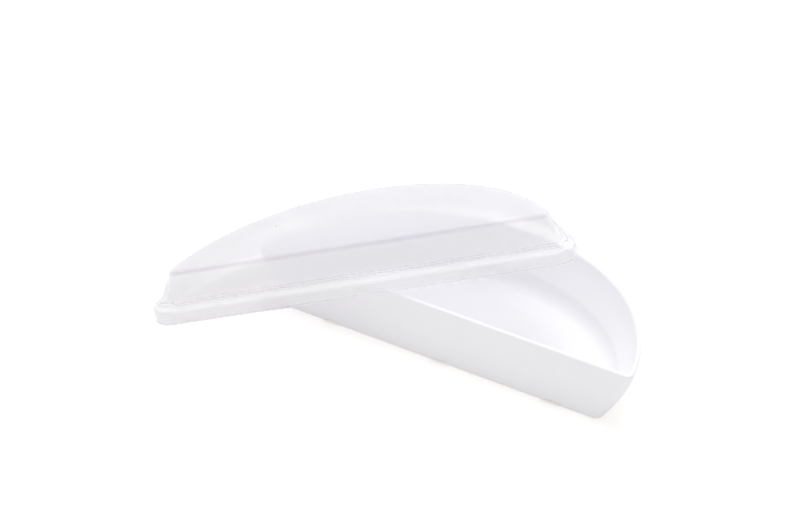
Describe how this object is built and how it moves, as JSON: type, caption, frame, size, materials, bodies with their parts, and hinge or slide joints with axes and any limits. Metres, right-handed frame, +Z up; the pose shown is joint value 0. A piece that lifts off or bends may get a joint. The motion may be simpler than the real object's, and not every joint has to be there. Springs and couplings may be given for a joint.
{
  "type": "lidded half-moon dish",
  "caption": "Shallow half-moon dish with a flat front wall, a flared curved wall and a foot ring, its loose frosted lid leaning askew over one end.",
  "frame": {"origin": "below the middle of the bounding box of dish and lid together, on the surface they stand on", "axes": "+X along the dish's straight wall towards its open end, +Y from the straight wall towards the curved wall, +Z up"},
  "size_m": [0.2472, 0.1371, 0.0698],
  "materials": {
    "dish_white": "smooth white, soft gloss",
    "lid_frosted": "translucent, lightly frosted"
  },
  "bodies": {
    "dish": {"dish": "dish_white"},
    "lid": {"lid": "lid_frosted"}
  },
  "joints": [
    {"name": "lid_lift", "type": "slide", "parent": "dish", "child": "lid", "axis": [0, 0, 1], "range_m": [0, 0.1]}
  ]
}
